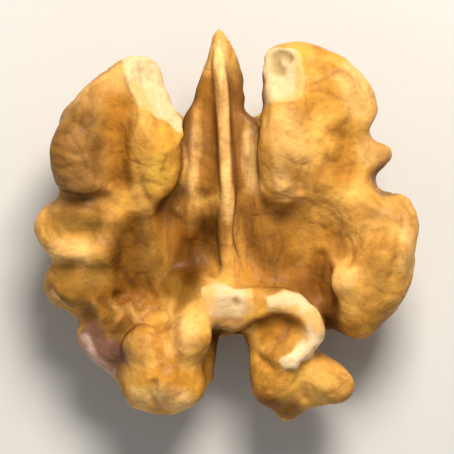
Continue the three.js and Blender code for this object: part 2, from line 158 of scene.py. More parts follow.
RIGHT_SIDE = {
    "blend": 1.4,
    "folds": [
        # The rim, the ridge inside it and the slope down to the floor.
        [(11, 1, 9.2, 1.6), (12.5, 0.9, 9.4, 1.5), (12, -1.6, 9.8, 1.95), (11.3, -4.2, 8.9, 2.2),
         (10.1, -6, 7.4, 2.1)],
        [(9.7, 1.6, 9, 1.8), (10.2, -1, 8.7, 1.8), (9.2, -3.7, 8.8, 1.8), (8.8, -5.4, 7.4, 1.7)],
        [(6.7, 1.4, 8, 1.7), (7, -1.2, 7.2, 1.6), (7.2, -3.6, 6.7, 1.6), (7.8, -5.8, 5.8, 1.7)],
    ],
}

BRIDGE = {
    "blend": 0.9,
    "folds": [
        # The bridge itself, the hooked rim that it ends in, the flesh inside that and the mass below.
        [(-3.6, -4.9, 7.8, 1.4), (-1.5, -5.4, 8.8, 1.5), (0.4, -5.9, 8.9, 1.8), (2, -5.8, 9, 1.4)],
        [(2.2, -5.5, 9.2, 1.1), (4.4, -5.8, 9.6, 1.1), (5.8, -6.6, 9.7, 1.1), (6.1, -8.1, 9.5, 1.15),
         (5, -9.6, 9.3, 1)],
        [(3.2, -6.8, 7.4, 1.7), (4.6, -7.5, 7.7, 1.7), (4.4, -8.8, 7.5, 1.7)],
        [(-1, -5.2, 6, 2.3), (3.4, -5.2, 6.4, 2.3)],
    ],
    "chips": [((0.2, -6, 10.1), (0, -0.35, 0.94), 8)],
}

LOWER_LOBES = {
    "blend": 0.8,
    "folds": [
        # The left lobe: two knobs at its top and the flesh between them, its round end, its mass
        # and its wall on the gap.
        [(-3, -6, 7.8, 1.3), (-2.85, -8.2, 9.8, 1.7), (-3.1, -9.5, 8.8, 1.5)],
        [(-6, -8.7, 9.4, 1.6), (-6.1, -9.9, 8.7, 1.6)],
        [(-5.4, -7, 7.6, 1.3), (-4.6, -7.4, 8.1, 1.2)],
        [(-4.5, -11.5, 8.3, 2.65), (-6.3, -11.6, 8, 1.9)],
        [(-3.9, -6.5, 5.4, 2.7), (-4.6, -10.2, 5.6, 3)],
        [(-2, -8.8, 6.2, 1.4), (-2.3, -10.9, 5.8, 1.3)],
        # The right lobe: its main fold, its spur, its mass and the flesh under the spur.
        [(4.4, -7.4, 6.9, 2.2), (3.8, -9.4, 7.3, 2.15), (3.6, -11.3, 7.4, 2.2)],
        [(5.4, -10.6, 7.4, 1.75), (6.6, -11.1, 7.5, 1.75), (7.6, -11.5, 7.3, 1.7)],
        [(3.8, -8.4, 5.2, 2.2), (4.2, -11.4, 5, 2.2), (4.2, -12.8, 5.2, 1.6)],
        [(4.6, -12.5, 6.4, 1.7), (6.2, -12.2, 6.6, 1.4), (7.4, -12, 6.6, 1.2)],
    ],
}

# The middle of the kernel, with the floor of the hollows on both sides of the tongue.
CORE = {
    "blend": 1.5,
    "folds": [
        [(-8, 0, 4.6, 2.9), (0, 0.5, 3.8, 3), (8, 0, 4.6, 2.9)],
        [(-6, 5, 4.4, 2.8), (0, 4, 4.2, 2.4), (6, 5, 4.4, 2.8)],
        [(-5, -4, 4.4, 2.8), (5, -4.5, 4.4, 2.8)],
        [(-5.6, 1, 4.8, 2.3), (-3.6, -2.4, 4.6, 2.3)],
        [(5.2, 1.4, 5.8, 2.3), (4.2, -2.4, 5.5, 2.4)],
        [(3.9, 2.4, 6.9, 1.6), (4.2, 0.4, 6.4, 1.6)],
        [(-7.2, 0.6, 6.4, 1.6), (-7, -3, 6.2, 1.6)],
        [(-5.5, -0.7, 7.5, 1), (-5.4, -2.9, 7.5, 1)],
    ],
}

# Ribs of the outer side: each leaves the seam along the middle of the dome and rises to a
# bump of the rim. (rim x, rim y, rim z, y where it leaves the seam)
RIB = {"radius": 1.7, "seam_x": 2.0, "floor": 2.1, "rise": 2.1, "spread": 0.85, "sway": 1.0}
RIB_ENDS = [
    (-7.4, 9.6, 8, 5.4), (-10.6, 7.8, 8, 3.6), (-11.4, 4.6, 7.8, 1.8), (-12.2, 0.4, 7, -0.2),
    (-11.8, -4.2, 6, -2.8), (-9, -8, 5, -5), (-6.4, -11.4, 6, -6.6),
    (6.2, 10.6, 8, 6), (8.6, 9.4, 8, 4.6), (9, 6, 7.6, 2.8), (10.8, 1.6, 7.2, 0.8),
    (12.2, -1.4, 7, -1.8), (11.2, -4.6, 6, -4), (6, -11.2, 5.4, -6.4),
]

# Three low swellings of the outer side, which the kernel rests on. They are cut flat at z = 0.
FEET = {
    "blend": 1.4,
    "folds": [
        [(-7, 5.6, 3.6, 2.2), (-5.6, 4.4, 2.6, 3), (-4, 2.4, 3.6, 2.2)],
        [(7.2, 5.2, 3.6, 2.2), (5.8, 4, 2.5, 3), (4.4, 2, 3.6, 2.2)],
        [(-1.6, -6.4, 3.4, 2.2), (0.4, -5.2, 2.3, 3), (2, -3.4, 3.4, 2.2)],
    ],
}

# Furrows of the inner face, drawn as the folds are, but pressed in.
FURROWS = [
    # Along the left wing and along the right wing.
    [(-8.3, 10, 13, 0.8), (-8.3, 6.4, 12.6, 1), (-8, 2.8, 11.5, 0.9)],
    [(6.6, 12.6, 12.4, 0.5), (6.9, 10.8, 13.1, 0.7), (6.6, 8.6, 13.2, 0.6)],
    # Above and below the knob on the rim.
    [(11.6, 7.2, 12, 0.7), (11.7, 7.2, 5, 0.75)],
    [(11.7, 3.5, 12, 0.7), (11.9, 3.5, 5, 0.8)],
    # Between the right side and the floor, and the dimple above that.
    [(5.6, 0.8, 10.6, 0.8), (6.2, -2.8, 9.6, 0.9), (6.9, -5.2, 8.8, 1)],
    [(8.2, -1, 10.6, 1), (8.4, -2, 10.4, 0.9)],
    # Between the knobs of the lower left lobe.
    [(-4.9, -7, 10.8, 0.7), (-4.9, -8.6, 11, 0.7), (-4.7, -10, 11.3, 0.4)],
    # Between the left wing and the lobes below it, and between those.
    [(-13.4, 1.9, 9.6, 0.45), (-10.8, 2.2, 11, 0.4), (-8.8, 1.6, 10.6, 0.5)],
    [(-14.1, -3, 8.8, 0.4), (-11.2, -3.2, 10.5, 0.6)],
    # Under the hooked rim.
    [(2.2, -7.8, 9.4, 0.7), (4, -7.4, 10.3, 0.7), (4.8, -8, 10.3, 0.6)],
    # The floor left of the tongue.
    [(-3.9, 1.2, 9.3, 1.1), (-3.6, -2.4, 8.9, 1.2)],
]

# Clefts between the tongue and the wings, open from the inner face down to the outer side.
CLEFT_TOP = 14.0
CLEFTS = [
    (-3.5, 12.2, 1.3), (-3.4, 10.7, 1.05), (-3.15, 9.3, 0.75),
    (1.95, 12.2, 0.75), (1.95, 10.6, 0.5), (1.95, 9.2, 0.35),
]


def rib(rim_x, rim_y, rim_z, seam_y):
    """A rib's balls, on a bowl that rises from the seam to the rim."""
    balls = []
    for t in (0, 0.3, 0.65, 1):
        start_x = math.copysign(RIB["seam_x"], rim_x)
        x = start_x + (rim_x - start_x) * t ** RIB["spread"]
        y = seam_y + (rim_y - seam_y) * t + RIB["sway"] * math.sin(2 * math.pi * t + seam_y)
        z = RIB["floor"] + (rim_z - RIB["floor"]) * t ** RIB["rise"]
        balls.append((x, y, z, RIB["radius"]))
    return balls


RIBS = {"blend": 0.8, "folds": [rib(*end) for end in RIB_ENDS]}
GROUPS = [CORE, RIBS, FEET, TONGUE, LEFT_WING, LEFT_SIDE, RIGHT_WING, RIGHT_SIDE, BRIDGE, LOWER_LOBES]


def smooth_path(points, steps):
    """A centripetal Catmull-Rom curve through the points, as a row of points along it."""
    points = np.array(points, float)
    rows = np.vstack([2 * points[0] - points[1], points, 2 * points[-1] - points[-2]])
    path = []
    for p0, p1, p2, p3 in zip(rows, rows[1:], rows[2:], rows[3:]):
        d0, d1, d2 = (math.sqrt(math.dist(a, b)) for a, b in ((p0, p1), (p1, p2), (p2, p3)))
        leave = ((p1 - p0) / d0 - (p2 - p0) / (d0 + d1) + (p2 - p1) / d1) * d1
        arrive = ((p2 - p1) / d1 - (p3 - p1) / (d1 + d2) + (p3 - p2) / d2) * d1
        for t in np.arange(steps) / steps:
            path.append(
                p1 + leave * t + (3 * (p2 - p1) - 2 * leave - arrive) * t ** 2
                + (2 * (p1 - p2) + leave + arrive) * t ** 3
            )
    return np.array(path + [points[-1]])


class Tube:
    """A row of balls as straight pieces with their radii."""

    def __init__(self, balls):
        stretches = len(balls) - 1
        self.centres = smooth_path([ball[:3] for ball in balls], STEPS)
        along = np.arange(stretches * STEPS + 1) / STEPS
        self.radii = np.interp(along, np.arange(stretches + 1), [ball[3] for ball in balls])

    def pieces(self):
        return zip(self.centres, self.centres[1:], self.radii, self.radii[1:])

    def distance(self, x, y, z):
        """From places that are few enough for every piece to be tried on each."""
        return np.minimum.reduce([piece_distance(x, y, z, *piece) for piece in self.pieces()])


def piece_distance(x, y, z, start, end, start_radius, end_radius):
    """From places to a straight piece of a tube."""
    ax, ay, az = (np.float32(v) for v in end - start)
    rx, ry, rz = (v - np.float32(s) for v, s in zip((x, y, z), start))
    t = np.clip((rx * ax + ry * ay + rz * az) / np.float32(np.dot(end - start, end - start)), 0, 1)
    away = np.sqrt((rx - t * ax) ** 2 + (ry - t * ay) ** 2 + (rz - t * az) ** 2)
    return away - np.float32(start_radius) - t * np.float32(end_radius - start_radius)


def soft_min(a, b, blend):
    """The lesser of two distances, rounded off where they are within blend of each other."""
    h = np.maximum(blend - np.abs(a - b), 0) / blend
    return np.minimum(a, b) - h * h * (blend / 4)


def soft_cut(shape, cutter, blend):
    return -soft_min(-shape, cutter, blend)


def smoothstep(value, low, high):
    t = np.clip((value - low) / (high - low), 0, 1)
    return t * t * (3 - 2 * t)


def swayed(x, y, z):
    """Places moved a little, by an amount that changes slowly from place to place."""
    turn = 2 * math.pi / SWAY["period"]

    def wave(a, b, start):
        return SWAY["reach"] * np.sin(turn * a + start) * np.cos(turn * b + start / 2)

    first, second, third = SWAY["starts"]
    return x + wave(y, z, first), y + wave(x, z, second), z + wave(x, y, third)


def winding_sheet(x, y, z):
    """A field that is zero on a winding sheet, which passes through the whole kernel."""
    turn = 2 * math.pi / CREASE["period"]

    def bent(along, wide, fine, start):
        wide_bend = WIDE_BEND["swing"] * np.sin(WIDE_BEND["rate"] * wide + start)
        return turn * along + wide_bend + FINE_BEND["swing"] * np.sin(FINE_BEND["rate"] * fine + start)

    axes = ((x, y, z), (y, x, z), (z, x, y))
    u, v, w = (bent(*places, start) for places, start in zip(axes, CREASE["starts"]))
    return np.sin(u) * np.cos(v) + np.sin(v) * np.cos(w) + np.sin(w) * np.cos(u)


def steepness(shape, sheet):
    """How steeply the sheet meets the shape at each point of the grid: 0 where it would run along
    just under the skin and leave a loose flake, and 1 where it crosses the skin."""
    a, b = np.gradient(shape), np.gradient(sheet)
    lengths = np.sqrt(sum(p * p for p in a) * sum(q * q for q in b))
    along = np.abs(sum(p * q for p, q in zip(a, b))) / np.maximum(lengths, TINY)
    return 1 - smoothstep(along, *CREASE["nearly_along"])


def crease(shape, x, y, z):
    """How deep the flesh is pressed in where the winding sheet meets the outer side."""
    sheet = winding_sheet(x, y, z)
    outwards = np.minimum(np.hypot(x, y) / KERNEL_RADIUS, 1)
    lowest, highest = CREASE["height_in_middle"], CREASE["height_at_rim"]
    top = lowest + (highest - lowest) * outwards ** 2
    share = 1 - smoothstep(z, top, top + CREASE["fade"])
    share *= steepness(shape, sheet)
    return CREASE["depth"] * share * np.exp(-((sheet / CREASE["width"]) ** 2))


class Grid:
    """The field's values at the points of a grid, in millimetres from the skin."""

    def __init__(self, reach, cell):
        self.low = np.array(reach[0])
        self.cell = cell
        axes = [np.arange(a, b + cell, cell, dtype=np.float32) for a, b in zip(*reach)]
        self.place = swayed(*np.meshgrid(*axes, indexing="ij"))
        self.shape = self.place[0].shape
        shape = self.all_groups()
        self.value = (shape + crease(shape, *self.place)).astype(np.float32)

    def around(self, points, margin):
        """The slices of the grid that hold a box round some points."""
        low = np.floor((np.min(points, axis=0) - margin - self.low) / self.cell).astype(int)
        high = np.ceil((np.max(points, axis=0) + margin - self.low) / self.cell).astype(int) + 1
        return tuple(slice(max(a, 0), min(b, n)) for a, b, n in zip(low, high, self.shape))

    def tube(self, tube, blend):
        """The distance to a tube, and the slices where it is near enough to matter."""
        margin = tube.radii.max() + blend + SWAY["reach"]
        where = self.around(tube.centres, margin)
        best = np.full([s.stop - s.start for s in where], FAR, np.float32)
        for piece in tube.pieces():
            part = self.around(piece[:2], margin)
            inner = tuple(slice(p.start - s.start, p.stop - s.start) for p, s in zip(part, where))
            reached = piece_distance(*(axis[part] for axis in self.place), *piece)
            best[inner] = np.minimum(best[inner], reached)
        return best, where

    def group(self, blend, folds, chips=()):
        shape = np.full(self.shape, FAR, np.float32)
        for fold in folds:
            reached, where = self.tube(Tube(fold), blend)
            shape[where] = soft_min(reached, shape[where], blend)
        for point, towards, radius in chips:
            middle = dish_middle(point, towards, radius)
            away = np.sqrt(sum((axis - np.float32(m)) ** 2 for axis, m in zip(self.place, middle)))
            shape = soft_cut(shape, away - np.float32(radius), CHIP_BLEND)
        return shape

    def all_groups(self):
        shape = np.full(self.shape, FAR, np.float32)
        for group in GROUPS:
            shape = soft_min(self.group(**group), shape, GROUP_BLEND)
        clefts = [[(x, y, CLEFT_TOP, radius), (x, y, 0, radius)] for x, y, radius in CLEFTS]
        for furrow in FURROWS + clefts:
            reached, where = self.tube(Tube(furrow), FURROW_BLEND)
            shape[where] = soft_cut(shape[where], reached, FURROW_BLEND)
        return shape

    def at(self, places):
        """The field at any places, from the eight grid points round each."""
        spot = (places - self.low) / self.cell
        base = np.clip(np.floor(spot).astype(int), 0, np.array(self.shape) - 2)
        part = spot - base
        total = np.zeros(len(places))
        for corner in np.ndindex(2, 2, 2):
            share = np.prod(np.where(corner, part, 1 - part), axis=1)
            total += share * self.value[tuple((base + corner).T)]
        return total

    def slope(self, places):
        """Which way the field rises, as unit vectors: out of the flesh."""
        step = self.cell
        rise = [self.at(places + step * way) - self.at(places - step * way) for way in np.eye(3)]
        rise = np.stack(rise, axis=1)
        return rise / np.maximum(np.linalg.norm(rise, axis=1, keepdims=True), TINY)


def dish_middle(point, towards, radius):
    """The middle of the ball that cuts a chip."""
    towards = np.array(towards, float)
    return np.array(point) + towards * (radius / np.linalg.norm(towards))


def corner_of_squares(array, plane, ahead):
    """One corner of each square of the grid in a plane: the far one along the axes ahead."""
    cut = [slice(None)] * array.ndim
    for axis in plane:
        cut[axis] = slice(1, None) if axis in ahead else slice(None, -1)
    return array[tuple(cut)]


def fill_pinches(value):
    """Fills the places where flesh would meet only along an edge of a cell."""
    changed = True
    while changed:
        changed = False
        for p, q in ((0, 1), (1, 2), (2, 0)):
            flesh = value < 0
            a, b, c, d = (
                corner_of_squares(flesh, (p, q), ahead) for ahead in ((), (p,), (p, q), (q,))
            )
            for wanted, moved in ((a, p), (b, None)):
                spots = np.argwhere((a == c) & (b == d) & (a != b) & wanted)
                if len(spots):
                    changed = True
                    if moved is not None:
                        spots[:, moved] += 1
                    value[tuple(spots.T)] = JUST_INSIDE


def skin(grid):
    """The surface where the field crosses zero: a vertex in each cell that it passes through,
    at the mean of its crossings, and a quad across each crossed edge of the grid."""
    value = grid.value.copy()
    fill_pinches(value)
    flesh = value < 0
    cells = tuple(n - 1 for n in value.shape)
    corners = list(np.ndindex(2, 2, 2))

    def at_corner(array, corner):
        return array[tuple(slice(c, c + n) for c, n in zip(corner, cells))]

    count = sum(at_corner(flesh, corner).astype(np.int8) for corner in corners)
    crossed = np.argwhere((count > 0) & (count < len(corners)))
    total = np.zeros(crossed.shape)
    crossings = np.zeros(len(crossed))
    for corner in corners:
        for axis in range(3):
            if corner[axis]:
                continue
            other = tuple(c + (n == axis) for n, c in enumerate(corner))
            start = value[tuple((crossed + corner).T)]
            end = value[tuple((crossed + other).T)]
            cut = (start < 0) != (end < 0)
            where = np.repeat(np.array([corner], float), len(crossed), axis=0)
            where[:, axis] = np.where(cut, start / np.where(cut, start - end, 1), 0)
            total[cut] += where[cut]
            crossings[cut] += 1
    vertices = (crossed + total / crossings[:, None]) * grid.cell + grid.low

    number = np.full(cells, -1)
    number[tuple(crossed.T)] = np.arange(len(crossed))
    quads = []
    for axis in range(3):
        p, q = np.eye(3, dtype=int)[[(axis + 1) % 3, (axis + 2) % 3]]
        here = flesh[tuple(slice(None, -1) if n == axis else slice(None) for n in range(3))]
        there = flesh[tuple(slice(1, None) if n == axis else slice(None) for n in range(3))]
        for spots, order in ((np.argwhere(here & ~there), 1), (np.argwhere(~here & there), -1)):
            ring = [number[tuple((spots - move).T)] for move in (0 * p, p, p + q, q)]
            quads.append(np.stack(ring[::order], axis=1))
    return vertices, np.vstack(quads)


def largest_shell(vertices, quads):
    """The outer skin alone: loose scraps and the walls of sealed hollows are other shells."""
    label = np.arange(len(vertices))
    while True:
        lowest = label[quads].min(axis=1)
        new = label.copy()
        for column in quads.T:
            np.minimum.at(new, column, lowest)
        new = new[new]
        if np.array_equal(new, label):
            break
        label = new
    sizes = np.bincount(label)
    kept = label == sizes.argmax()
    number = np.cumsum(kept) - 1
    return vertices[kept], number[quads[kept[quads[:, 0]]]]


# Small forms of the skin, each as (height, size), in millimetres.
LUMPS = ((0.16, 3.1), (0.1, 1.4))
WRINKLES = ((0.09, 1.5), (0.05, 0.8))
WRINKLE_START = 5.0  # where in the noise they begin
STRETCH = (1.0, 1.6, 1.0)  # lumps and wrinkles run along the wings
CRUMB = ((0.07, 0.55), (0.05, 0.28))
GRAIN = {"height": 0.05, "across": 0.55, "along": 4.0, "start": 2.0}
SMOOTH_TONGUE = 0.8  # how much of the lumps and wrinkles the tongue lacks
VALLEY = {"width": 0.6, "sharpness": 3}  # powers that shape the wrinkles


def noise_at(places, size, start):
    """Smooth noise from about -1 to 1 at each place."""
    scaled = places / size + start
    return np.array([noise.noise(place) for place in scaled.tolist()])


def ridged(places, size, start):
    """Noise with narrow valleys, from 0 in a valley to 1."""
    return np.abs(noise_at(places, size, start)) ** VALLEY["width"]


# Bands over which one thing turns into another: how far a place is from the tongue's folds, how
# much the skin faces up, its height, and how far inside an outline it is.
TONGUE_EDGE = (0.1, 0.5)
FACING_UP = (0.0, 0.35)
INNER_HEIGHT = (4.0, 8.0)  # below this is the outer side, which has no stains or drawn forms
BARE_EDGE = (-0.12, 0.12)
RAGGED = ((0.2, 1.3, 7.0), (0.08, 0.5, 3.0))  # how far that wanders, its size and its start
ROOT = -1  # the place of the root in the tongue's folds: it lies under the others


def tongue_share(places):
    """How much a place belongs to the tongue, from 0 to 1."""
    spots = swayed(*places.T)
    near = np.minimum.reduce([Tube(fold).distance(*spots) for fold in TONGUE["folds"][:ROOT]])
    return 1 - smoothstep(near, *TONGUE_EDGE)


# Where the skin broke off and the flesh is bare, as outlines seen from above the inner face.
BARE_PATCHES = [
    # The broken face of the left wing.
    [(-7.9, 12.7), (-7.5, 11.2), (-7.1, 9.9), (-6.4, 8.9), (-5.3, 8.3), (-4.2, 7.7), (-3.5, 7.1),
     (-2.7, 7.9), (-3.6, 9.4), (-4.3, 11.2), (-5.2, 12.8)],
    # That of the right wing.
    [(2.1, 8.7), (3.4, 9.1), (4.6, 9.2), (5.5, 9.5), (5.6, 11), (5.5, 12.8), (4.6, 13.3), (2.9, 13.2),
     (2.1, 11)],
    # The end of the bridge under the tongue.
    [(-1.9, -4.6), (-0.8, -4.1), (0.6, -4.4), (1.9, -4.5), (2, -6.2), (1.5, -7.5), (0, -7.9),
     (-1.3, -7.5)],
    # The hooked rim.
    [(3, -5.3), (4.2, -4.7), (5.6, -5), (6.6, -5.9), (7.2, -7), (7.3, -8.2), (6.8, -9.3), (5.9, -9.9),
     (5.3, -10.7), (4.3, -10.6), (3.9, -9.9), (4.8, -9.2), (5.6, -8.1), (6, -7.1), (5.8, -6.4),
     (4.4, -6.3), (3.2, -6.2)],
]


def line_distance(spots, line):
    """From spots (x, y) to a line through some points, or to its one point."""
    nearest = np.full(len(spots), np.inf)
    for start, end in zip(np.array(line), np.array(line[1:] or line)):
        along = end - start
        t = np.clip((spots - start) @ along / max(along @ along, TINY), 0, 1)
        nearest = np.minimum(nearest, np.linalg.norm(spots - start - t[:, None] * along, axis=1))
    return nearest


def outline_depth(spots, outline):
    """How far inside an outline each spot is; below 0 outside it."""
    x, y = spots.T
    ring = outline + outline[:1]
    inside = np.zeros(len(spots), bool)
    for (ax, ay), (bx, by) in zip(ring, ring[1:]):
        if ay != by:
            inside ^= ((ay > y) != (by > y)) & (x < (bx - ax) * (y - ay) / (by - ay) + ax)
    nearest = line_distance(spots, ring)
    return np.where(inside, nearest, -nearest)


def seen_share(places, outwards):
    """How much a place belongs to what is seen from above: the outer side doesn't."""
    return smoothstep(outwards[:, 2], *FACING_UP) * smoothstep(places[:, 2], *INNER_HEIGHT)


def bare_share(places, outwards):
    """How much of the skin is broken off at a place, from 0 to 1."""
    ragged = sum(reach * noise_at(places, size, start) for reach, size, start in RAGGED)
    deepest = np.max([outline_depth(places[:, :2], outline) for outline in BARE_PATCHES], axis=0)
    return smoothstep(deepest + ragged, *BARE_EDGE) * seen_share(places, outwards)


# Small ridges and bumps of the inner face, and grooves and pits (with a height below 0), as
# seen from above: (height, half of the width, the points that it runs through).
SMALL_FORMS = [
    # Left side: a bent ridge, two wavy ones and short ones across them.
    (0.3, 0.35, [(-7.3, -5.7), (-6.7, -7.1), (-5.8, -6.0)]),
    (0.25, 0.35, [(-9.9, -5.6), (-9.3, -6.6), (-9.6, -7.7)]),
    (0.25, 0.35, [(-8.7, -5.5), (-8, -6.5), (-8.4, -7.6)]),
    (0.25, 0.4, [(-12.6, -4.6), (-11.6, -5.6)]),
    (0.15, 0.35, [(-5.4, -4.6), (-4.2, -3.6)]),
    (-0.35, 0.35, [(-7.9, -3.4), (-7.2, -4.8), (-8.2, -5.4)]),
    (-0.3, 0.3, [(-6.3, -3.6), (-5.6, -5.2)]),
    # Bumps that catch the light.
    (0.3, 0.35, [(-3.9, 1.4), (-3.7, 1.2)]),
    (0.3, 0.35, [(-9.1, 3.1), (-8.9, 2.9)]),
    (0.25, 0.4, [(-3, 6.7), (-2.5, 5)]),
    (0.25, 0.4, [(1.4, 6.6), (1.5, 5.5)]),
    (0.3, 0.45, [(4.2, 3), (4, 2.8)]),
    (0.35, 0.4, [(7.6, 6), (7.8, 5.2)]),
    (0.3, 0.35, [(7.2, 7.6), (6.9, 6.6)]),
    (0.35, 0.8, [(8.8, -3.7), (8.7, -4.2)]),
    (0.25, 0.4, [(-2.6, -0.4), (-2.8, -0.7)]),
    # Grooves down the right wing, and along its foot.
    (-0.2, 0.4, [(8.9, 7.4), (8.7, 4.9), (8.6, 3.9)]),
    (-0.25, 0.25, [(7.2, 4.9), (7, 3.6)]),
    (-0.3, 0.3, [(5.7, 4.4), (5.4, 2.6)]),
    (-0.3, 0.35, [(7, -2.2), (6.7, -4.3), (7.5, -6.8)]),
    (-0.25, 0.3, [(12.7, 0.6), (12.6, -2.2), (12.2, -3.8)]),
    # Wrinkles across the outer lobe of the left wing.
    (-0.15, 0.25, [(-12.6, 5.9), (-11, 5.2), (-9.6, 5.6)]),
    (-0.15, 0.25, [(-12.2, 4.2), (-10.6, 4.6), (-9.4, 3.8)]),
    (-0.2, 0.25, [(-11.4, 7.9), (-10.2, 7), (-10, 6)]),
    (-0.2, 0.3, [(-6.7, 4.6), (-6.4, 3), (-6, 2)]),
    (-0.2, 0.25, [(-4.7, 4), (-4.6, 2.6)]),
    # The groove down the lower left lobe, and those round the neck of the spur.
    (-0.3, 0.3, [(-5.5, -11.6), (-5.8, -12.6), (-5.5, -13.2)]),
    (-0.3, 0.35, [(2.2, -9.6), (3.4, -10.6), (3.2, -12.2)]),
    (-0.3, 0.35, [(5.8, -10.2), (5.4, -11.6), (5.8, -12.8)]),
    # Pits in the bare flesh.
    (-0.3, 0.35, [(4.5, 12.4), (4.1, 12.8), (3.6, 12.5), (3.6, 11.7), (3.9, 11.5)]),
    (-0.2, 0.25, [(0.6, -5.4), (0.7, -5.7)]),
    (-0.3, 0.3, [(-6.2, 11.4), (-5.9, 10.8)]),
]


def drawn_forms(places, outwards):
    """The height of the small forms at each place, in millimetres."""
    height = np.zeros(len(places))
    for rise, width, line in SMALL_FORMS:
        height += rise * np.exp(-((line_distance(places[:, :2], line) / width) ** 2))
    return height * seen_share(places, outwards)


SKIN = (0.62, 0.285, 0.035)
FLESH = (0.72, 0.52, 0.28)
PAINTED_RIDGE_LIGHT = (0.82, 0.46, 0.13)  # painted light on the ridges
GOLD = (0.72, 0.36, 0.05)
PALE = (0.82, 0.46, 0.15)
YELLOW = (0.84, 0.44, 0.06)
AMBER = (0.37, 0.145, 0.012)
BURNT = (0.22, 0.078, 0.005)
BROWN = (0.125, 0.042, 0.001)
PINKISH = (0.25, 0.118, 0.030)
OLIVE = (0.21, 0.100, 0.010)
PURPLE = (0.17, 0.080, 0.050)
PINK = (0.60, 0.38, 0.30)
TAN = (0.50, 0.26, 0.06)
CREAM = (0.92, 0.68, 0.38)
PITTED = (0.40, 0.28, 0.12)

